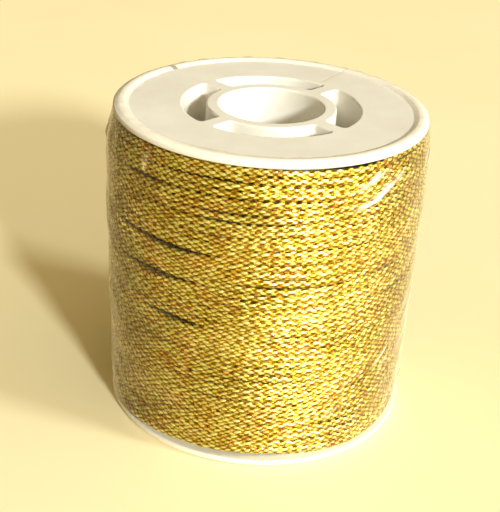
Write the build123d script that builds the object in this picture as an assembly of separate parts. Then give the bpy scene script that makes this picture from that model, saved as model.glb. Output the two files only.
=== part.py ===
"""A spool of braided metallic cord: a two-piece moulded spool, the cord wound on it and a clear shrink sleeve.

Frame, in millimetres: the origin is at the centre of the base, on the plane it stands on. +Z runs up the
spool's axis. The hub's four webs lie on the diagonals between +X and +Y.
"""

import math
import os

from build123d import *

# Spool moulding
FLANGE_RADIUS = 24.0
SPOOL_HEIGHT = 50.4
RIM_THICKNESS = 1.1
FLANGE_ROOT_THICKNESS = 1.7
BEAD_WIDTH = 2.3
BEAD_HEIGHT = 0.3
BEAD_CROWN_WIDTH = 0.7
BEAD_CROWN_ROUNDING = 0.8
SHOULDER_HEIGHT = 0.35
RIM_ROUNDING = 0.3
BORE_RADIUS = 8.0
TUBE_RADIUS = 10.0
POCKET_RADIUS = 13.7
BARREL_RADIUS = 15.0
WEB_THICKNESS = 2.5
WEB_ANGLES = [45, 135, 225, 315]
POCKET_CORNER_ROUNDING = 0.6
POCKET_MOUTH_ROUNDING = 0.3
BORE_MOUTH_ROUNDING = 0.4
NOTCH_WIDTH = 1.0
NOTCH_ANGLE = 135

# Spigots that join the two halves at mid-height
SPIGOT_WALL = 0.65
SPIGOT_LENGTH = 3.0
SPIGOT_CLEARANCE = 0.05
SPIGOT_END_GAP = 0.2
WEB_SLOT_CLEARANCE = 0.2

# Wound cord: radius of the wound surface at heights above the base
WOUND_PROFILE = [
    (23.7, 49.2),
    (24.4, 47.2),
    (24.8, 43.0),
    (24.95, 37.0),
    (24.85, 31.0),
    (24.55, 25.0),
    (24.2, 19.0),
    (23.9, 12.0),
    (23.5, 5.0),
    (23.2, 1.3),
]

# Shrink sleeve: it bridges from rim to rim, touches the fullest turns and stands off the lower ones
SLEEVE_THICKNESS = 0.1
SLEEVE_LOWER_EDGE = 0.65
SLEEVE_LAP = 2.2
LAP_SHARE = 0.85
SLEEVE_PROFILE = [
    (24.0, 49.3),
    (24.7, 47.0),
    (25.05, 43.0),
    (25.25, 37.0),
    (25.3, 31.0),
    (25.15, 25.0),
    (24.9, 19.0),
    (24.55, 12.0),
    (24.2, 5.0),
    (24.0, 1.1),
]

MID_HEIGHT = SPOOL_HEIGHT / 2
BEAD_INNER_RADIUS = FLANGE_RADIUS - BEAD_WIDTH
CROWN_INNER_RADIUS = FLANGE_RADIUS - (BEAD_WIDTH + BEAD_CROWN_WIDTH) / 2
CROWN_OUTER_RADIUS = CROWN_INNER_RADIUS + BEAD_CROWN_WIDTH


def axis_distance(edge):
    """How far the middle of an edge is from the axis."""
    middle = edge.position_at(0.5)
    return math.hypot(middle.X, middle.Y)


def turned(points, rounded=None):
    """A ring turned about the axis from (radius, height) points. rounded maps a point's index to its radius."""
    outline = make_face(Plane.XZ * Polyline(*points, close=True))
    for index, radius in (rounded or {}).items():
        corner = Vector(points[index][0], 0, points[index][1])
        vertex = outline.vertices().sort_by_distance(corner)[0]
        outline = fillet(vertex, radius)
    return revolve(outline, Axis.Z, 360)


def cylinder_between(radius, low, high):
    """A solid cylinder on the axis from one height to another."""
    return Pos(0, 0, (low + high) / 2) * Cylinder(radius, high - low)


def ring_between(inner, outer, low, high):
    """A plain ring on the axis from one height to another."""
    return cylinder_between(outer, low, high) - cylinder_between(inner, low - 1, high + 1)


def webs(inner, outer, thickness, low, high):
    """Four radial bars on the web angles, from one radius to another."""
    bar = Pos((inner + outer) / 2, 0, (low + high) / 2) * Box(outer - inner, thickness, high - low)
    return [Rot(0, 0, angle) * bar for angle in WEB_ANGLES]


def flange_and_barrel():
    """The lower flange with the bead round its rim, and the barrel standing on it up to mid-height."""
    points = [
        (POCKET_RADIUS, BEAD_HEIGHT),
        (BEAD_INNER_RADIUS, BEAD_HEIGHT),
        (CROWN_INNER_RADIUS, 0),
        (CROWN_OUTER_RADIUS, 0),
        (FLANGE_RADIUS, SHOULDER_HEIGHT),
        (FLANGE_RADIUS, RIM_THICKNESS),
        (BARREL_RADIUS, FLANGE_ROOT_THICKNESS),
        (BARREL_RADIUS, MID_HEIGHT),
        (POCKET_RADIUS, MID_HEIGHT),
    ]
    crown = {2: BEAD_CROWN_ROUNDING, 3: BEAD_CROWN_ROUNDING}
    edges = {1: RIM_ROUNDING, 4: RIM_ROUNDING, 5: RIM_ROUNDING}
    return turned(points, crown | edges)


def spindle_tube():
    """The tube that turns on the spindle, up to mid-height, with a rounded edge at the bore's mouth."""
    points = [
        (BORE_RADIUS, BEAD_HEIGHT),
        (TUBE_RADIUS, BEAD_HEIGHT),
        (TUBE_RADIUS, MID_HEIGHT),
        (BORE_RADIUS, MID_HEIGHT),
    ]
    return turned(points, {0: BORE_MOUTH_ROUNDING})


def half_moulding():
    """What the two halves share: a flange, half the barrel, half the tube and the webs between them."""
    ribs = webs(TUBE_RADIUS - 0.5, POCKET_RADIUS + 0.5, WEB_THICKNESS, BEAD_HEIGHT, MID_HEIGHT)
    half = flange_and_barrel() + spindle_tube() + ribs
    half = fillet(half.edges().filter_by(Axis.Z), POCKET_CORNER_ROUNDING)
    face_edges = half.edges().filter_by_position(Axis.Z, BEAD_HEIGHT - 0.01, BEAD_HEIGHT + 0.01)
    mouths = [edge for edge in face_edges if TUBE_RADIUS - 0.1 < axis_distance(edge) < POCKET_RADIUS + 0.1]
    return fillet(mouths, POCKET_MOUTH_ROUNDING)


def spigots():
    """Two thin rings that stand up from the lower half, one in the barrel and one in the tube."""
    top = MID_HEIGHT + SPIGOT_LENGTH
    root = MID_HEIGHT - SPIGOT_WALL
    in_barrel = ring_between(POCKET_RADIUS, POCKET_RADIUS + SPIGOT_WALL, root, top)
    slot_width = WEB_THICKNESS + 2 * WEB_SLOT_CLEARANCE
    for bar in webs(POCKET_RADIUS - 1, BARREL_RADIUS, slot_width, MID_HEIGHT, top + 1):
        in_barrel -= bar
    in_tube = ring_between(BORE_RADIUS, BORE_RADIUS + SPIGOT_WALL, root, top)
    return in_barrel, in_tube


def sockets():
    """The space that the spigots go into, cut from the half that comes down over them."""
    top = MID_HEIGHT + SPIGOT_LENGTH + SPIGOT_END_GAP
    wall = SPIGOT_WALL + SPIGOT_CLEARANCE
    in_barrel = ring_between(POCKET_RADIUS - 0.01, POCKET_RADIUS + wall, MID_HEIGHT - 1, top)
    for bar in webs(POCKET_RADIUS - 1, BARREL_RADIUS, WEB_THICKNESS, MID_HEIGHT - 2, top + 1):
        in_barrel -= bar
    in_tube = ring_between(BORE_RADIUS - 1, BORE_RADIUS + wall, MID_HEIGHT - 1, top)
    return in_barrel, in_tube


def thread_notch():
    """The slit through the upper rim that catches the cord's end."""
    slit = Pos(FLANGE_RADIUS, 0, SPOOL_HEIGHT) * Box(2 * BEAD_WIDTH, NOTCH_WIDTH, 4 * RIM_THICKNESS)
    return Rot(0, 0, NOTCH_ANGLE) * slit


def lower_spool_half():
    """The half that stands on the table, with the spigots."""
    in_barrel, in_tube = spigots()
    return half_moulding() + in_barrel + in_tube


def upper_spool_half():
    """The same moulding turned over, with the sockets and the notch in its rim."""
    half = half_moulding().mirror(Plane.XY.offset(MID_HEIGHT))
    for space in sockets():
        half -= space
    return half - thread_notch()


def wound_cord():
    """The whole length of cord as it lies on the barrel, as one closed ring."""
    surface = Spline(*[(radius, height) for radius, height in WOUND_PROFILE])
    rest = Polyline(
        WOUND_PROFILE[-1],
        (BARREL_RADIUS, FLANGE_ROOT_THICKNESS),
        (BARREL_RADIUS, SPOOL_HEIGHT - FLANGE_ROOT_THICKNESS),
        WOUND_PROFILE[0],
    )
    return revolve(make_face(Plane.XZ * (surface + rest)), Axis.Z, 360)


def sleeve_side(standing_off):
    """One side of the sleeve's section: up the rim, over the cord, round the upper rim and onto its bead."""
    radius = FLANGE_RADIUS + standing_off
    top = SPOOL_HEIGHT + standing_off
    over_cord = [(r + standing_off, z) for r, z in SLEEVE_PROFILE]
    lower = Line((radius, SLEEVE_LOWER_EDGE), over_cord[-1])
    middle = Spline(*over_cord)
    upper = Polyline(
        over_cord[0],
        (radius, top - SHOULDER_HEIGHT),
        (CROWN_OUTER_RADIUS, top),
        (CROWN_INNER_RADIUS, top),
        (FLANGE_RADIUS - SLEEVE_LAP, top - BEAD_HEIGHT * LAP_SHARE),
    )
    return lower + middle + upper


def shrink_sleeve():
    """The clear film round the cord, lapped over the upper rim and ending on the lower rim's edge."""
    inside = sleeve_side(0)
    outside = sleeve_side(SLEEVE_THICKNESS)
    lower_end = Line(inside @ 0, outside @ 0)
    lap_end = Line(inside @ 1, outside @ 1)
    return revolve(make_face(Plane.XZ * (inside + outside + lower_end + lap_end)), Axis.Z, 360)


PARTS = {
    "lower_spool_half": lower_spool_half,
    "upper_spool_half": upper_spool_half,
    "wound_cord": wound_cord,
    "shrink_sleeve": shrink_sleeve,
}

os.makedirs("parts", exist_ok=True)
for name, build in PARTS.items():
    shape = build()
    export_step(shape, f"parts/{name}.step")
    print(f"{name}: {shape.volume:.0f} mm3, {len(shape.solids())} solid")
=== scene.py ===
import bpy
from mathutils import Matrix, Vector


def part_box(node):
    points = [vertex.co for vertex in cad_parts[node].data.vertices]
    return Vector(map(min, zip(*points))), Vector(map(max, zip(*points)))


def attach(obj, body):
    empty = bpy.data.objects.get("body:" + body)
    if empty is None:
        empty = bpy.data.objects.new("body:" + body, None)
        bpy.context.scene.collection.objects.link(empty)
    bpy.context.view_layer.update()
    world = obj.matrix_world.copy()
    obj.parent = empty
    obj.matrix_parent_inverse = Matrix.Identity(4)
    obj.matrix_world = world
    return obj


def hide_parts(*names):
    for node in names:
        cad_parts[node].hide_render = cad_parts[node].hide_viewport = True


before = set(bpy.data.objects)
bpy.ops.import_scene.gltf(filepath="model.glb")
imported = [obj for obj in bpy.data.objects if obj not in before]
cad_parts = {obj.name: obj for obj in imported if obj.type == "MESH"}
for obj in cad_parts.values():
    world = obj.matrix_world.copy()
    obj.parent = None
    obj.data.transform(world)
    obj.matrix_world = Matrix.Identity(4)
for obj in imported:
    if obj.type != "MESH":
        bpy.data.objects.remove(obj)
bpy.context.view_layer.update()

import math

import bpy
import numpy as np
from mathutils import Matrix, Vector

MM = 0.001

# ---------------------------------------------------------------- sizes from the frame
FLANGE_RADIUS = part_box("lower_spool_half")[1].x
SPOOL_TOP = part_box("upper_spool_half")[1].z
SLEEVE_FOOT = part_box("shrink_sleeve")[0].z
cord_low, cord_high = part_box("wound_cord")

# ---------------------------------------------------------------- the cord
CORD_DIAMETER = 1.1 * MM
CORD_SPREAD = 1.22  # width of a turn over its thickness
CORD_PITCH = 1.09 * MM
CORD_SINK = 0.1 * MM  # how far the first turn lies into the corner of the flange
CORD_EDGE = 1.4 * MM  # the wound surface comes no further inside the flange's radius than this
BRAID_LAY = 6.2 * MM  # length of cord in which a yarn goes round it once
CARRIERS_EACH_WAY = 4
FLOAT_HALF_WIDTH = 0.40  # of the space between two yarns
FLOAT_CROWN = 0.20 * MM
FLOAT_WAVE = 0.11 * MM
RING_STEP = 0.19 * MM
RING_ANGLES = [-138, -98, -74, -54, -36, -18, 0, 18, 36, 54, 74, 98, 138]
CORD_PIECES = 5
UNDER_STEP = 0.45 * MM
UNDER_ANGLES = [-105, -60, -22, 22, 60, 105]
UNDER_DEPTH = 0.78 * CORD_DIAMETER

# ------------------------------------------------ how the wound surface departs from a turned one
FOOT_HEIGHT = 10 * MM
FOOT_BULGE = 0.85 * MM
FOOT_SWING = 0.2 * MM
OUT_OF_ROUND = 0.22 * MM
FLAT_SIDE = math.radians(10)
LIFT_SIZE = 0.19 * MM
SWELL_SIZE = 0.08 * MM
PARTING_REACH = 3.2 * MM
END_TUCK = 0.8 * MM
END_TURNS = 0.08

# ---------------------------------------------------------------- the sleeve
SLEEVE_COLUMNS = 600
SLEEVE_ROWS = 136
TAUT_COLUMNS = 60
TAUT_ROWS = 34
LAP_STEPS = 28
LAP_INNER_RADIUS = 21.8 * MM
LAP_CLEARANCE = 0.05 * MM
RIM_HEIGHT = 1.1 * MM
RIM_CLEARANCE = 0.03 * MM
BEAD_DEPTH = 0.45 * MM
TAUT_CLEARANCE = 0.12 * MM
CORD_CLEARANCE = 0.1 * MM
CRINKLE_SIZE = 0.035 * MM
SLACK_SIZE = 0.09 * MM
PLEAT_SIZE = 0.07 * MM
PLEATS_REACH = 5 * MM
CREASE_BEND = 0.02  # sag of a crease over its length squared, in mm
# A fully white crease crest is a painted glint, partly the whiteness of stressed film.
WHITE_OUT = 0.6  # how far out, in mm, a crease stands that is fully whitened
WHITE_SHARE = 0.6  # of a crease's width
EDGE_WANDER = 0.2 * MM
EDGE_CURL = 0.14 * MM
LOOSE_CURL = 0.4 * MM
LOOSE_MIDDLE = 8  # degrees
LOOSE_SPAN = 9  # degrees
PUCKER_SIZE = 0.05 * MM

# ---------------------------------------------------------------- seeds of the random draws
PARTED_SEED = 3
CORD_SEED = 5
UNDER_SEED = 6
LIFT_SEED = 8
CREASE_SEED = 12
SWELL_SEED = 17
SLEEVE_SEED = 21


def ripple(azimuth, height, count, orders, lengths, rng):
    """Smooth noise over the spool's side with about unit size: a sum of waves that close round the axis."""
    total = 0.0
    for _ in range(count):
        order = rng.integers(orders[0], orders[1] + 1)
        number = 2 * math.pi / rng.uniform(*lengths) * rng.choice([-1, 1])
        total = total + np.cos(order * azimuth + number * height + rng.uniform(0, 2 * math.pi))
    return total / math.sqrt(count / 2)


def smooth_noise(length, step, rng):
    """Random values about 0, one for each of length samples, that turn over about every step samples."""
    knots = max(int(length / step) + 3, 4)
    values = rng.normal(0, 1, knots)
    x = np.arange(length) / step
    i = np.minimum(x.astype(int), knots - 3)
    t = x - i
    t = t * t * (3 - 2 * t)
    return values[i] * (1 - t) + values[i + 1] * t


def degrees_away(azimuth, middle):
    """How far an azimuth in radians is from a middle in degrees, from -180 to 180."""
    return (np.degrees(azimuth) - middle + 180) % 360 - 180


def turned_profile(node, inner_limit):
    """Heights and outer radii of a turned CAD node, read from its mesh."""
    points = np.array([v.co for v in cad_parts[node].data.vertices])
    radius = np.hypot(points[:, 0], points[:, 1])
    outer = radius > inner_limit
    heights, where = np.unique(np.round(points[outer, 2], 6), return_inverse=True)
    radii = np.zeros(len(heights))
    np.maximum.at(radii, where, radius[outer])
    return heights, radii


def bead_profile(node, inner_limit):
    """Radii and heights along the top of a turned CAD node's rim, from the inside out."""
    points = np.array([v.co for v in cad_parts[node].data.vertices])
    radius = np.hypot(points[:, 0], points[:, 1])
    on_top = (radius > inner_limit) & (points[:, 2] > SPOOL_TOP - BEAD_DEPTH)
    radii, where = np.unique(np.round(radius[on_top], 6), return_inverse=True)
    heights = np.zeros(len(radii))
    np.maximum.at(heights, where, points[on_top, 2])
    return radii, heights


def grid_mesh(name, points, uv=None, uv_name="", close_across=True, caps=True):
    """A mesh from a rows x columns x 3 array, with columns joined round if asked, and end caps."""
    rows, columns = points.shape[:2]
    row = np.arange(rows - 1)[:, None] * columns
    column = np.arange(columns if close_across else columns - 1)[None, :]
    after = (column + 1) % columns
    quads = np.stack([row + column, row + after, row + columns + after, row + columns + column], -1)
    quads = quads.reshape(-1, 4)
    loops = [quads.ravel()]
    starts = np.arange(len(quads)) * 4
    if caps:
        loops += [np.arange(columns)[::-1], (rows - 1) * columns + np.arange(columns)]
        starts = np.concatenate([starts, [len(quads) * 4, len(quads) * 4 + columns]])
    loops = np.concatenate(loops)
    mesh = bpy.data.meshes.new(name)
    mesh.vertices.add(rows * columns)
    mesh.vertices.foreach_set("co", points.reshape(-1).astype(np.float32))
    mesh.loops.add(len(loops))
    mesh.loops.foreach_set("vertex_index", loops.astype(np.int32))
    mesh.polygons.add(len(starts))
    mesh.polygons.foreach_set("loop_start", starts.astype(np.int32))
    mesh.polygons.foreach_set("use_smooth", np.full(len(starts), True))
    if uv is not None:
        layer = mesh.uv_layers.new(name=uv_name)
        layer.data.foreach_set("uv", uv.reshape(-1, 2)[loops].astype(np.float32).ravel())
    mesh.update(calc_edges=True)
    mesh.validate()
    piece = bpy.data.objects.new(name, mesh)
    bpy.context.scene.collection.objects.link(piece)
    return piece


# ---------------------------------------------------------------- how the cord lies
cord_heights, cord_radii = turned_profile("wound_cord", FLANGE_RADIUS - CORD_EDGE)
first_height = cord_low.z + CORD_DIAMETER / 2 - CORD_SINK
last_height = cord_high.z - CORD_DIAMETER / 2
TURNS = int(round((last_height - first_height) / CORD_PITCH))
turn_pitch = (last_height - first_height) / TURNS

# Gaps where two turns part: the middle's azimuth in degrees and height in mm, then half length in degrees
# and width in mm
PARTED = [
    (-128, 35.3, 30, 1.15),
    (-134, 29.8, 24, 0.95),
    (-126, 23.4, 20, 0.85),
    (-140, 44.5, 16, 0.6),
    (-41, 31.6, 14, 0.5),
    (-35, 27.4, 16, 0.6),
    (-50, 11.9, 16, 0.4),
    (-88, 41.0, 14, 0.2),
    (-78, 16.5, 22, 0.18),
]


def add_parted(rng, count):
    """More gaps, round the sides and the back."""
    for _ in range(count):
        middle = rng.uniform(-10, 200)
        height = rng.uniform(6, 46)
        half = rng.uniform(12, 30)
        PARTED.append((middle, height, half, rng.uniform(0.2, 0.5)))


add_parted(np.random.default_rng(PARTED_SEED), 14)


def surface_radius(height, azimuth):
    """Radius of the wound surface: the CAD profile, out of round, with its lowest turns bulging out."""
    base = np.interp(height, cord_heights, cord_radii)
    middle = np.sin(math.pi * np.clip(height / SPOOL_TOP, 0, 1))
    foot = np.clip(1 - height / FOOT_HEIGHT, 0, 1) * (FOOT_BULGE - FOOT_SWING * np.cos(azimuth))
    return base + foot - OUT_OF_ROUND * middle * (1 + np.cos(azimuth - FLAT_SIDE))


def lift(turn, azimuth, height):
    """How far a turn is pushed up or down from its even place."""
    rng = np.random.default_rng(LIFT_SEED)
    moved = LIFT_SIZE * ripple(azimuth, height, 10, (1, 6), (9 * MM, 30 * MM), rng)
    for middle, at, half, width in PARTED:
        away = degrees_away(azimuth, middle)
        shape = np.clip(1 - (away / half) ** 2, 0, 1) ** 2
        number = round((at * MM - first_height) / turn_pitch - 0.5 - (middle % 360) / 360)
        parting = number + 0.5 + ((middle % 360) + away) / 360
        side = (turn - parting) * turn_pitch
        moved = moved + width * MM / 2 * shape * np.sign(side) * np.exp(-np.abs(side) / PARTING_REACH)
    return moved


def braid_height(along, around):
    """How far the braid stands out at a distance along the cord and an angle around it."""
    turn = around / (2 * math.pi)
    one_way = (turn - along / BRAID_LAY) * CARRIERS_EACH_WAY
    other_way = (turn + along / BRAID_LAY) * CARRIERS_EACH_WAY
    first = np.round(one_way)
    second = np.round(other_way)
    wave = np.cos(math.pi * (first + second))
    cross_first = one_way - first
    cross_second = other_way - second
    crown_first = np.sqrt(np.maximum(1 - (cross_first / FLOAT_HALF_WIDTH) ** 2, 0))
    crown_second = np.sqrt(np.maximum(1 - (cross_second / FLOAT_HALF_WIDTH) ** 2, 0))
    high_first = FLOAT_CROWN * crown_first + FLOAT_WAVE * wave * np.cos(math.pi * cross_second)
    high_second = FLOAT_CROWN * crown_second - FLOAT_WAVE * wave * np.cos(math.pi * cross_first)
    return np.maximum(high_first, high_second)


def cord_grid(step, angles, depth, hand, seed):
    """Points and UVs of the helix of cord, sampled every step or so along it and at the angles round it."""
    rng = np.random.default_rng(seed)
    per_turn = int(round(2 * math.pi * FLANGE_RADIUS / step))
    count = TURNS * per_turn + 1

    def jitter(size, turns):
        return size * smooth_noise(count, per_turn * turns, rng)

    turn = np.arange(count) / per_turn
    azimuth = 2 * math.pi * turn * hand
    height = first_height + turn_pitch * turn
    height = height + lift(turn, azimuth, height) + jitter(0.05 * MM, 0.09)
    radius = surface_radius(height, azimuth) - CORD_DIAMETER / 2 - depth
    radius = radius + jitter(0.07 * MM, 0.05)
    swell = ripple(azimuth, height, 12, (2, 12), (4 * MM, 18 * MM), np.random.default_rng(SWELL_SEED))
    radius = radius + SWELL_SIZE * swell
    ends = np.minimum(turn, TURNS - turn)
    radius = radius - END_TUCK * np.clip(1 - ends / END_TURNS, 0, 1) ** 2
    centre = np.stack([radius * np.cos(azimuth), radius * np.sin(azimuth), height], -1)
    along = np.concatenate([[0], np.cumsum(np.linalg.norm(np.diff(centre, axis=0), axis=1))])
    along = along + jitter(0.45 * MM, 0.06)
    twist = jitter(0.6, 0.3)
    angles = np.radians(angles)[None, :]
    around = angles + twist[:, None]
    thick = CORD_DIAMETER / 2 - FLOAT_CROWN - FLOAT_WAVE + braid_height(along[:, None], around)
    outward = np.stack([np.cos(azimuth), np.sin(azimuth), np.zeros(count)], -1)
    points = centre[:, None, :] + (thick * np.cos(angles))[..., None] * outward[:, None, :]
    points[..., 2] += CORD_SPREAD * thick * np.sin(angles)
    lays = np.broadcast_to(along[:, None] / BRAID_LAY, thick.shape)
    uv = np.stack([lays, around / (2 * math.pi)], -1)
    return points, uv


def build_cord():
    """The outer layer in several pieces, and a coarser layer under it that shows in the gaps."""
    pieces = []
    points, uv = cord_grid(RING_STEP, RING_ANGLES, depth=0, hand=1, seed=CORD_SEED)
    cuts = np.linspace(0, len(points) - 1, CORD_PIECES + 1).astype(int)
    for index in range(CORD_PIECES):
        rows = slice(cuts[index], cuts[index + 1] + 1)
        pieces.append(grid_mesh(f"wound_cord_{index + 1}", points[rows], uv[rows], "braid"))
    points, uv = cord_grid(UNDER_STEP, UNDER_ANGLES, UNDER_DEPTH, hand=-1, seed=UNDER_SEED)
    pieces.append(grid_mesh("wound_cord_under", points[:, ::-1], uv[:, ::-1], "braid"))
    return pieces


# ---------------------------------------------------------------- the sleeve's film
# Creases: azimuth in degrees, height and length in mm, lean from level in degrees, then width and how far
# the crease stands out in mm
CREASES = [
    (-55.0, 47.0, 6.5, 22, 0.40, 0.6),
    (-50.5, 45.2, 9.5, 26, 0.46, 0.6),
    (-57.5, 43.6, 5.5, 20, 0.36, 0.42),
    (-41.0, 16.6, 6.5, 38, 0.35, 0.4),
    (-38.5, 15.4, 6.0, 40, 0.3, 0.35),
    (-136.0, 48.0, 3.6, 82, 0.26, 0.4),
    (-137.2, 46.4, 2.8, -70, 0.24, 0.4),
    (-62.0, 9.5, 6.0, 22, 0.35, 0.15),
    (-33.0, 38.5, 7.0, 55, 0.4, 0.2),
]


def add_creases(rng, count):
    """More creases, round the sides and the back, most of them near the top."""
    for _ in range(count):
        azimuth = rng.uniform(-25, 205)
        top = rng.random() < 0.55
        height = rng.uniform(42, 48.5) if top else rng.uniform(4, 40)
        lean = rng.uniform(25, 80) * rng.choice([-1, 1])
        length = rng.uniform(3, 9)
        width = rng.uniform(0.3, 0.5)
        CREASES.append((azimuth, height, length, lean, width, rng.uniform(0.12, 0.34)))


add_creases(np.random.default_rng(CREASE_SEED), 26)


def crease_height(azimuth, height):
    """How far the creases stand out, and how much painted glint lies along their crests, from 0 to 1; the
    glint is partly the whiteness of stressed film.
    """
    total = np.zeros_like(azimuth)
    glint_and_whiteness = np.zeros_like(azimuth)
    for middle, at, length, lean, width, out in CREASES:
        away = degrees_away(azimuth, middle) * math.pi / 180 * FLANGE_RADIUS / MM
        up = height / MM - at
        lean = math.radians(lean)
        along = away * math.cos(lean) + up * math.sin(lean)
        across = up * math.cos(lean) - away * math.sin(lean) + CREASE_BEND * along * along
        end = np.clip(1 - (along / (length / 2)) ** 2, 0, 1)
        total = total + out * MM * end * np.exp(-((across / width) ** 2))
        painted_crest_highlight = np.exp(-((across / (WHITE_SHARE * width)) ** 2))
        glint_and_whiteness = np.maximum(glint_and_whiteness, out / WHITE_OUT * end * painted_crest_highlight)
    return total, glint_and_whiteness


def outer_envelope(heights, radii):
    """The taut line round the outside of a profile, as the film runs between the places where it rests."""
    spans = np.maximum(heights[None, None, :] - heights[:, None, None], 1e-9)
    share = (heights[None, :, None] - heights[:, None, None]) / spans
    chord = radii[:, :, None, None] * (1 - share) + radii[:, None, None, :] * share
    order = np.arange(len(heights))
    inside = (order[:, None, None] <= order[None, :, None]) & (order[None, :, None] <= order[None, None, :])
    return np.where(inside, chord, 0).max(axis=(1, 3))


def taut_radius(azimuth, side):
    """Radius of the film pulled tight over the cord and both rims, at each azimuth and height."""
    coarse = np.linspace(side[0], side[-1], TAUT_ROWS)
    sparse = azimuth[:: SLEEVE_COLUMNS // TAUT_COLUMNS]
    rest = surface_radius(coarse[None, :], sparse[:, None]) + TAUT_CLEARANCE
    on_rim = (coarse < RIM_HEIGHT) | (coarse > SPOOL_TOP - RIM_HEIGHT)
    rest = np.where(on_rim[None, :], FLANGE_RADIUS + LAP_CLEARANCE, rest)
    taut = outer_envelope(coarse, rest)
    taut = np.stack([np.interp(side, coarse, line) for line in taut])
    around = np.concatenate([sparse, [2 * math.pi]])
    taut = np.concatenate([taut, taut[:1]])
    return np.stack([np.interp(azimuth, around, taut[:, i]) for i in range(len(side))], -1)


def sleeve_side(azimuth, rng):
    """The film round the cord: its radii, heights and painted glint along the creases, for each azimuth
    from the foot up.
    """
    side = np.linspace(SLEEVE_FOOT, SPOOL_TOP - BEAD_DEPTH, SLEEVE_ROWS)
    taut = taut_radius(azimuth, side)
    grid_azimuth = np.repeat(azimuth[:, None], len(side), 1)
    grid_height = np.repeat(side[None, :], SLEEVE_COLUMNS, 0)
    cord = surface_radius(grid_height, grid_azimuth) + CORD_CLEARANCE
    free_below = np.clip((grid_height - 0.6 * MM) / (4 * MM), 0, 1)
    free_above = np.clip((SPOOL_TOP - grid_height - RIM_HEIGHT) / (3 * MM), 0, 1)
    free = free_below * free_above
    crinkle = CRINKLE_SIZE * ripple(grid_azimuth, grid_height, 14, (6, 34), (3 * MM, 12 * MM), rng)
    slack = SLACK_SIZE * ripple(grid_azimuth, grid_height, 8, (2, 7), (12 * MM, 40 * MM), rng)
    pleats = PLEAT_SIZE * ripple(grid_azimuth, grid_height, 7, (18, 42), (18 * MM, 60 * MM), rng)
    near_top = np.exp(-np.clip(SPOOL_TOP - grid_height, 0, 1) / PLEATS_REACH)
    creases, glint_and_whiteness = crease_height(grid_azimuth, grid_height)
    radius = taut + free * (crinkle + slack + pleats * near_top + creases)
    radius = np.maximum(radius, np.minimum(cord, FLANGE_RADIUS + 2 * MM))
    radius = np.maximum(radius, FLANGE_RADIUS + RIM_CLEARANCE)
    return radius, grid_height, glint_and_whiteness * free


def sleeve_lap(azimuth, start, rng):
    """Radii and heights of the film over the bead round the rim, from the side's top to its free edge."""
    edge = EDGE_WANDER * ripple(azimuth, 0 * azimuth, 9, (3, 26), (1, 2), rng)
    curl = np.clip(EDGE_CURL * ripple(azimuth, 0 * azimuth, 8, (2, 15), (1, 2), rng), 0, 1)
    curl = curl + LOOSE_CURL * np.exp(-((degrees_away(azimuth, LOOSE_MIDDLE) / LOOSE_SPAN) ** 2))
    pucker = PUCKER_SIZE * ripple(azimuth, 0 * azimuth, 9, (20, 60), (1, 2), rng)
    across = np.linspace(0, 1, LAP_STEPS + 1)[1:] ** 1.3
    inner = LAP_INNER_RADIUS + edge[:, None]
    radius = start - (start - inner) * across
    bead = np.interp(radius, *bead_profile("upper_spool_half", LAP_INNER_RADIUS - 1 * MM))
    puckered = np.clip(pucker[:, None] * np.sin(math.pi * across), -RIM_CLEARANCE, 1)
    height = bead + LAP_CLEARANCE + puckered + curl[:, None] * across**4
    return radius, height


def build_sleeve():
    """One sheet of film, from the lower rim up the cord and over the upper rim."""
    rng = np.random.default_rng(SLEEVE_SEED)
    azimuth = 2 * math.pi * np.arange(SLEEVE_COLUMNS) / SLEEVE_COLUMNS
    side_radius, side_height, glint_and_whiteness = sleeve_side(azimuth, rng)
    lap_radius, lap_height = sleeve_lap(azimuth, side_radius[:, -1:], rng)
    radius = np.concatenate([side_radius, lap_radius], 1)
    height = np.concatenate([side_height, lap_height], 1)
    points = np.stack([radius * np.cos(azimuth)[:, None], radius * np.sin(azimuth)[:, None], height], -1)
    # The painted glint along the creases goes on the mesh as a UV map.
    glint_and_whiteness = np.concatenate([glint_and_whiteness, np.zeros((SLEEVE_COLUMNS, LAP_STEPS))], 1).T
    uv = np.stack([glint_and_whiteness, np.zeros_like(glint_and_whiteness)], -1)
    return grid_mesh("shrink_film", points.transpose(1, 0, 2), uv, "whitening", caps=False)


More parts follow.
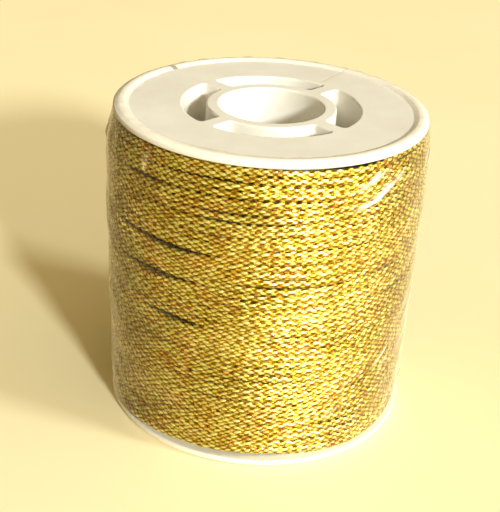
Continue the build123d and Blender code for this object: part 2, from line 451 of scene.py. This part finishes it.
# ---------------------------------------------------------------- materials
class Tree:
    """Short calls for building a material's nodes."""

    def __init__(self, name):
        self.material = bpy.data.materials.new(name)
        self.material.use_nodes = True
        self.nodes = self.material.node_tree.nodes
        self.links = self.material.node_tree.links
        self.shader = self.nodes["Principled BSDF"]
        self.output = self.nodes["Material Output"]

    def add(self, kind, **settings):
        node = self.nodes.new(kind)
        for key, value in settings.items():
            setattr(node, key, value)
        return node

    def put(self, socket, value):
        if isinstance(value, bpy.types.NodeSocket):
            self.links.new(value, socket)
        else:
            socket.default_value = value

    def place(self):
        return self.add("ShaderNodeTexCoord").outputs["Object"]

    def parts(self, vector):
        node = self.add("ShaderNodeSeparateXYZ")
        self.put(node.inputs[0], vector)
        return node.outputs[0], node.outputs[1], node.outputs[2]

    def math(self, operation, *values, clamp=False):
        node = self.add("ShaderNodeMath", operation=operation, use_clamp=clamp)
        for socket, value in zip(node.inputs, values):
            self.put(socket, value)
        return node.outputs[0]

    def noise(self, vector, scale, detail=2.0, roughness=0.5):
        """Noise with scale cells to the metre."""
        node = self.add("ShaderNodeTexNoise")
        self.put(node.inputs["Vector"], vector)
        node.inputs["Scale"].default_value = scale
        node.inputs["Detail"].default_value = detail
        node.inputs["Roughness"].default_value = roughness
        return node.outputs["Fac"]

    def ramp(self, value, stops):
        node = self.add("ShaderNodeValToRGB")
        self.put(node.inputs["Fac"], value)
        elements = node.color_ramp.elements
        while len(elements) < len(stops):
            elements.new(0.5)
        for element, (place, colour) in zip(elements, stops):
            element.position = place
            element.color = (*colour, 1)
        return node.outputs["Color"]

    def spread(self, value, low, high, to_low, to_high):
        node = self.add("ShaderNodeMapRange")
        for socket, item in zip(node.inputs, (value, low, high, to_low, to_high)):
            self.put(socket, item)
        return node.outputs["Result"]

    def mix(self, factor, first, second, blend="MIX"):
        node = self.add("ShaderNodeMix", data_type="RGBA", blend_type=blend)
        self.put(node.inputs["Factor"], factor)
        self.put(node.inputs["A"], first if isinstance(first, bpy.types.NodeSocket) else (*first, 1))
        self.put(node.inputs["B"], second if isinstance(second, bpy.types.NodeSocket) else (*second, 1))
        return node.outputs["Result"]

    def bump(self, height, strength, distance):
        node = self.add("ShaderNodeBump")
        self.put(node.inputs["Height"], height)
        node.inputs["Strength"].default_value = strength
        node.inputs["Distance"].default_value = distance
        return node.outputs["Normal"]


# Gold from darkest to palest. Through the crest share of the tone, the pale stops make a painted highlight
# along the float crests.
GOLD_TONES = [
    (0.0, (0.26, 0.10, 0.002)),
    (0.26, (0.47, 0.26, 0.005)),
    (0.44, (0.86, 0.65, 0.05)),
    (0.61, (1.0, 0.99, 0.46)),
]
# Painted shade: the dark red-brown put low between the floats, where they meet and shade each other.
GAP_PAINTED_SHADE = (0.42, 0.17, 0.004)
OLIVE_TINT = (0.95, 1.0, 0.84)
ROSE_TINT = (1.0, 0.90, 0.80)


def braid_nodes(t, along, around):
    """Nodes for braid_height over FLOAT_CROWN, a float's own number, and the place across and along it."""
    one_way = t.math("MULTIPLY", t.math("SUBTRACT", around, along), CARRIERS_EACH_WAY)
    other_way = t.math("MULTIPLY", t.math("ADD", around, along), CARRIERS_EACH_WAY)
    first = t.math("ROUND", one_way)
    second = t.math("ROUND", other_way)
    wave = t.math("COSINE", t.math("MULTIPLY", t.math("ADD", first, second), math.pi))
    cross_first = t.math("SUBTRACT", one_way, first)
    cross_second = t.math("SUBTRACT", other_way, second)

    def float_height(cross_own, cross_other, sign):
        share = t.math("DIVIDE", cross_own, FLOAT_HALF_WIDTH)
        left_over = t.math("SUBTRACT", 1.0, t.math("MULTIPLY", share, share))
        crown = t.math("SQRT", t.math("MAXIMUM", left_over, 0.0))
        arch = t.math("COSINE", t.math("MULTIPLY", cross_other, math.pi))
        arch = t.math("MULTIPLY", t.math("MULTIPLY", arch, wave), sign * FLOAT_WAVE / FLOAT_CROWN)
        return t.math("ADD", crown, arch)

    high_first = float_height(cross_first, cross_second, 1)
    high_second = float_height(cross_second, cross_first, -1)
    top = t.math("GREATER_THAN", high_first, high_second)

    def choose(when_first, when_second):
        node = t.add("ShaderNodeMix", data_type="FLOAT")
        t.put(node.inputs["Factor"], top)
        t.put(node.inputs["A"], when_second)
        t.put(node.inputs["B"], when_first)
        return node.outputs["Result"]

    number = t.add("ShaderNodeCombineXYZ")
    for socket, value in zip(number.inputs, (first, second, top)):
        t.put(socket, value)
    across = choose(cross_first, cross_second)
    lengthways = choose(cross_second, cross_first)
    return t.math("MAXIMUM", high_first, high_second), number.outputs[0], across, lengthways


def cord_material():
    t = Tree("gold_braid")
    uv = t.add("ShaderNodeUVMap", uv_map="braid").outputs["UV"]
    along, around, _ = t.parts(uv)
    height, number, across, lengthways = braid_nodes(t, along, around)
    chance = t.add("ShaderNodeTexWhiteNoise")
    t.put(chance.inputs["Vector"], number)
    chance = chance.outputs["Value"]
    place = t.place()
    # flat foil wrapped round each yarn: fine slanting ridges
    wrap = t.math("ADD", t.math("MULTIPLY", lengthways, 5.0), t.math("MULTIPLY", across, 3.2))
    wrap = t.math("ADD", wrap, t.math("MULTIPLY", t.noise(place, 2600, 2), 1.6))
    ridges = t.math("ABSOLUTE", t.math("SINE", t.math("MULTIPLY", wrap, math.pi)))
    fibres = t.noise(place, 9000, 2, 0.6)
    patches = t.noise(place, 320, 3, 0.6)
    grains = t.noise(place, 2200, 2, 0.7)
    # painted highlight: palest along the crests of the floats, and different from float to float
    painted_crest_highlight = t.math("MULTIPLY", t.spread(height, 0.55, 1.4, 0.0, 1.0), 0.62)
    tone = t.math("ADD", painted_crest_highlight, t.math("MULTIPLY", t.math("SUBTRACT", chance, 0.5), 0.36))
    tone = t.math("ADD", tone, t.math("MULTIPLY", t.math("SUBTRACT", ridges, 0.6), 0.14))
    tone = t.math("ADD", tone, t.math("MULTIPLY", t.math("SUBTRACT", grains, 0.5), 0.6))
    gold = t.ramp(tone, GOLD_TONES)
    olive = t.mix(1.0, gold, OLIVE_TINT, "MULTIPLY")
    rose = t.mix(1.0, gold, ROSE_TINT, "MULTIPLY")
    colour = t.mix(t.spread(patches, 0.46, 0.68, 0.0, 1.0), olive, rose)
    # painted shade: darker towards the low edges of each float, between the floats
    colour = t.mix(t.spread(height, 0.12, 0.55, 1.0, 0.0), colour, GAP_PAINTED_SHADE)
    t.put(t.shader.inputs["Base Color"], colour)
    t.shader.inputs["Metallic"].default_value = 0.9
    shine = t.math("ADD", t.math("MULTIPLY", grains, 0.5), t.math("MULTIPLY", chance, 0.5))
    t.put(t.shader.inputs["Roughness"], t.spread(shine, 0.2, 0.8, 0.18, 0.38))
    t.shader.inputs["Coat Weight"].default_value = 0.25
    t.shader.inputs["Coat Roughness"].default_value = 0.35
    t.shader.inputs["Coat IOR"].default_value = 1.7
    relief = t.math("ADD", height, t.math("MULTIPLY", ridges, 0.16))
    relief = t.math("ADD", relief, t.math("MULTIPLY", fibres, 0.12))
    relief = t.math("ADD", relief, t.math("MULTIPLY", grains, 0.5))
    t.put(t.shader.inputs["Normal"], t.bump(relief, 0.45, 0.12 * MM))
    t.put(t.shader.inputs["Coat Normal"], t.bump(relief, 0.4, 0.08 * MM))
    return t.material


RING_PITCH = 0.55 * MM
RING_WOBBLE = 1.6 * MM
WELD_ANGLE = math.radians(56)
WELD_WOBBLE = 0.7 * MM
WELD_HALF_WIDTH = 0.22 * MM
WELD_START = 13.9 * MM
WELD_FULL = 14.6 * MM


def weld_line(t, place, x, y):
    """Where two fronts of melt met in the mould: 1 on a wandering line out from the hub, 0 off it."""
    sine = math.sin(WELD_ANGLE)
    cosine = math.cos(WELD_ANGLE)
    beside = t.math("SUBTRACT", t.math("MULTIPLY", x, sine), t.math("MULTIPLY", y, cosine))
    wander = t.math("MULTIPLY", t.math("SUBTRACT", t.noise(place, 240, 2), 0.5), WELD_WOBBLE)
    beside = t.math("ADD", beside, wander)
    ahead = t.math("ADD", t.math("MULTIPLY", x, cosine), t.math("MULTIPLY", y, sine))
    line = t.spread(t.math("ABSOLUTE", beside), 0.0, WELD_HALF_WIDTH, 1.0, 0.0)
    return t.math("MULTIPLY", line, t.spread(ahead, WELD_START, WELD_FULL, 0.0, 1.0))


def plastic_material():
    t = Tree("white_moulding")
    place = t.place()
    clouds = t.noise(place, 110, 3, 0.6)
    grain = t.noise(place, 2400, 3, 0.6)
    x, y, _ = t.parts(place)
    radius = t.math("SQRT", t.math("ADD", t.math("MULTIPLY", x, x), t.math("MULTIPLY", y, y)))
    wobble = t.math("MULTIPLY", t.noise(place, 60, 2), RING_WOBBLE)
    rings = t.math("SINE", t.math("MULTIPLY", t.math("ADD", radius, wobble), 2 * math.pi / RING_PITCH))
    base = t.ramp(clouds, [(0.3, (0.78, 0.75, 0.67)), (0.7, (0.85, 0.825, 0.755))])
    specks = t.spread(t.noise(place, 5200, 1), 0.74, 0.8, 0.0, 0.35)
    base = t.mix(specks, base, (0.55, 0.47, 0.36))
    line = weld_line(t, place, x, y)
    base = t.mix(t.math("MULTIPLY", line, 0.35), base, (0.56, 0.49, 0.38))
    t.put(t.shader.inputs["Base Color"], base)
    dullness = t.math("ADD", grain, t.math("MULTIPLY", clouds, 0.6))
    t.put(t.shader.inputs["Roughness"], t.spread(dullness, 0.5, 1.1, 0.3, 0.5))
    t.shader.inputs["IOR"].default_value = 1.49
    relief = t.math("ADD", t.math("MULTIPLY", grain, 0.5), t.math("MULTIPLY", rings, 0.05))
    relief = t.math("SUBTRACT", relief, t.math("MULTIPLY", line, 1.6))
    t.put(t.shader.inputs["Normal"], t.bump(relief, 0.35, 0.05 * MM))
    return t.material


FILM_IOR = 1.45
FACING_SHARE = 0.033  # what the film reflects where it is seen straight on
HAZY_BELOW = 16 * MM
CLEAR_ABOVE = 36 * MM


def film_material():
    """Clear film, which veils more where it is seen at a slant and is painted white along its creases: a
    painted glint, partly the whiteness of stressed film.
    """
    t = Tree("clear_film")
    place = t.place()
    crinkle = t.noise(place, 420, 4, 0.6)
    haze = t.noise(place, 160, 3, 0.6)
    normal = t.bump(crinkle, 0.4, 0.08 * MM)
    facing = t.add("ShaderNodeFresnel")
    facing.inputs["IOR"].default_value = FILM_IOR
    t.put(facing.inputs["Normal"], normal)
    slanted = t.spread(facing.outputs[0], FACING_SHARE, 1.0, 0.0, 1.0)
    height = t.parts(place)[2]
    on_side = t.spread(height, HAZY_BELOW, CLEAR_ABOVE, 1.3, 0.9)
    on_bead = t.spread(height, SPOOL_TOP - 0.4 * MM, SPOOL_TOP, 0.0, 0.2)
    glare = t.math("MULTIPLY", slanted, t.math("SUBTRACT", on_side, on_bead))
    whitening = t.parts(t.add("ShaderNodeUVMap", uv_map="whitening").outputs["UV"])[0]
    # Painted glint: the film turns a diffuse white along the crease crests, partly the whiteness of
    # stressed film.
    white = t.math("MULTIPLY", whitening, t.spread(crinkle, 0.35, 0.55, 0.3, 1.2), clamp=True)
    weight = t.math("ADD", glare, t.spread(haze, 0.4, 0.7, 0.0, 0.01))
    weight = t.math("ADD", weight, t.math("MULTIPLY", white, 0.95), clamp=True)
    clear = t.add("ShaderNodeBsdfTransparent")
    clear.inputs["Color"].default_value = (0.99, 0.985, 0.97, 1)
    t.shader.inputs["Base Color"].default_value = (1.0, 0.93, 0.78, 1)
    t.put(t.shader.inputs["Metallic"], t.math("MULTIPLY", t.math("SUBTRACT", 1.0, white), 0.5))
    t.put(t.shader.inputs["Roughness"], t.spread(haze, 0.3, 0.7, 0.1, 0.45))
    t.put(t.shader.inputs["Normal"], normal)
    mix = t.add("ShaderNodeMixShader")
    t.put(mix.inputs[0], weight)
    t.put(mix.inputs[1], clear.outputs[0])
    t.put(mix.inputs[2], t.shader.outputs[0])
    t.put(t.output.inputs["Surface"], mix.outputs[0])
    return t.material


gold = cord_material()
plastic = plastic_material()
film = film_material()
for node in ("lower_spool_half", "upper_spool_half"):
    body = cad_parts[node]
    body.data.materials.clear()
    body.data.materials.append(plastic)

cord_pieces = build_cord()
for piece in cord_pieces:
    piece.data.materials.append(gold)
    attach(piece, "root")
    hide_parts("wound_cord")

sleeve = build_sleeve()
sleeve.data.materials.append(film)
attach(sleeve, "root")
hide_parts("shrink_sleeve")
sleeve.visible_shadow = False

# ---------------------------------------------------------------- floor, light and camera
VIEW_TURN = math.radians(-2.4)
CAMERA_DISTANCE = 7.342 * FLANGE_RADIUS
CAMERA_ELEVATION = 0.3329
CAMERA_TILT = -0.1339
CAMERA_YAW = -0.0106
CAMERA_ROLL = 0.0623
FOCAL_SHARE = 2.2375  # focal length over the sensor's longer side
LAMP_DISTANCE = 6.0
LAMP_COLOUR = (0.97, 1.0, 0.97)
ROOM_LIGHT_LEAST = 0.10
ROOM_LIGHT_MOST = 1.14
ROOM_LIGHT_TURN = math.radians(-40)
ROOM_LIGHT_POWER = 1.5
DIM_COLOUR = (1.0, 0.70, 0.24, 1)
BRIGHT_COLOUR = (1.0, 0.84, 0.52, 1)
FLOOR_HALF_WIDTH = 3


def add_camera():
    """A camera that looks down at the spool from the front, turned a little about each of its axes."""
    data = bpy.data.cameras.new("camera")
    camera = bpy.data.objects.new("camera", data)
    bpy.context.scene.collection.objects.link(camera)
    data.lens = FOCAL_SHARE * data.sensor_width
    data.clip_start = 0.01
    turn = Matrix.Rotation(VIEW_TURN, 3, "Z")
    forward = Vector((0, math.cos(CAMERA_ELEVATION), -math.sin(CAMERA_ELEVATION)))
    right = Vector((1, 0, 0))
    up = right.cross(forward)
    position = Vector((0, 0, SPOOL_TOP)) - CAMERA_DISTANCE * forward
    tilted = forward * math.cos(CAMERA_TILT) + up * math.sin(CAMERA_TILT)
    up = up * math.cos(CAMERA_TILT) - forward * math.sin(CAMERA_TILT)
    aim = tilted * math.cos(CAMERA_YAW) + right * math.sin(CAMERA_YAW)
    right = right * math.cos(CAMERA_YAW) - tilted * math.sin(CAMERA_YAW)
    side = right * math.cos(CAMERA_ROLL) + up * math.sin(CAMERA_ROLL)
    above = up * math.cos(CAMERA_ROLL) - right * math.sin(CAMERA_ROLL)
    axes = Matrix((side, above, -aim)).transposed()
    camera.matrix_world = Matrix.Translation(turn @ position) @ (turn @ axes).to_4x4()
    bpy.context.scene.camera = camera


def add_lamp(name, azimuth, elevation, size, power):
    """A round soft light aimed at the spool's middle. Angles are in degrees."""
    data = bpy.data.lights.new(name, "AREA")
    data.shape = "DISK"
    data.size = size
    data.energy = power
    data.color = LAMP_COLOUR
    lamp = bpy.data.objects.new(name, data)
    bpy.context.scene.collection.objects.link(lamp)
    azimuth = math.radians(azimuth) + VIEW_TURN
    elevation = math.radians(elevation)
    level = math.cos(elevation)
    away = Vector((math.cos(azimuth) * level, math.sin(azimuth) * level, math.sin(elevation)))
    lamp.location = Vector((0, 0, SPOOL_TOP / 2)) + away * LAMP_DISTANCE
    lamp.rotation_euler = away.to_track_quat("Z", "Y").to_euler()


def floor_material():
    t = Tree("pale_floor")
    clouds = t.noise(t.place(), 9, 3, 0.5)
    cream = t.ramp(clouds, [(0.3, (0.925, 0.815, 0.505)), (0.7, (0.955, 0.86, 0.56))])
    t.put(t.shader.inputs["Base Color"], cream)
    t.shader.inputs["Roughness"].default_value = 0.7
    t.shader.inputs["Specular IOR Level"].default_value = 0.2
    return t.material


def add_floor():
    corners = FLOOR_HALF_WIDTH * np.array([[[-1, -1, 0], [1, -1, 0]], [[-1, 1, 0], [1, 1, 0]]], float)
    floor = grid_mesh("floor", corners, close_across=False, caps=False)
    floor.data.materials.append(floor_material())


def add_room_light():
    """Warm light from all round, stronger on the lamps' side."""
    world = bpy.data.worlds.new("studio")
    world.use_nodes = True
    tree = world.node_tree
    place = tree.nodes.new("ShaderNodeTexCoord")
    toward = tree.nodes.new("ShaderNodeVectorMath")
    toward.operation = "DOT_PRODUCT"
    toward.inputs[1].default_value = (math.cos(ROOM_LIGHT_TURN), math.sin(ROOM_LIGHT_TURN), 0)
    share = tree.nodes.new("ShaderNodeMapRange")
    share.inputs["From Min"].default_value = -1
    steep = tree.nodes.new("ShaderNodeMath")
    steep.operation = "POWER"
    steep.inputs[1].default_value = ROOM_LIGHT_POWER
    strength = tree.nodes.new("ShaderNodeMapRange")
    strength.inputs["To Min"].default_value = ROOM_LIGHT_LEAST
    strength.inputs["To Max"].default_value = ROOM_LIGHT_MOST
    colour = tree.nodes.new("ShaderNodeMix")
    colour.data_type = "RGBA"
    colour.inputs["A"].default_value = DIM_COLOUR
    colour.inputs["B"].default_value = BRIGHT_COLOUR
    background = tree.nodes["Background"]
    tree.links.new(place.outputs["Generated"], toward.inputs[0])
    tree.links.new(toward.outputs["Value"], share.inputs["Value"])
    tree.links.new(share.outputs["Result"], steep.inputs[0])
    tree.links.new(steep.outputs["Value"], strength.inputs["Value"])
    tree.links.new(share.outputs["Result"], colour.inputs["Factor"])
    tree.links.new(strength.outputs["Result"], background.inputs["Strength"])
    tree.links.new(colour.outputs["Result"], background.inputs["Color"])
    bpy.context.scene.world = world


add_camera()
add_floor()
add_lamp("key", -61, 22, 0.64, 390.0)
add_lamp("side", -20, 30, 1.24, 205.0)
add_room_light()
bpy.context.scene.view_settings.view_transform = "Standard"
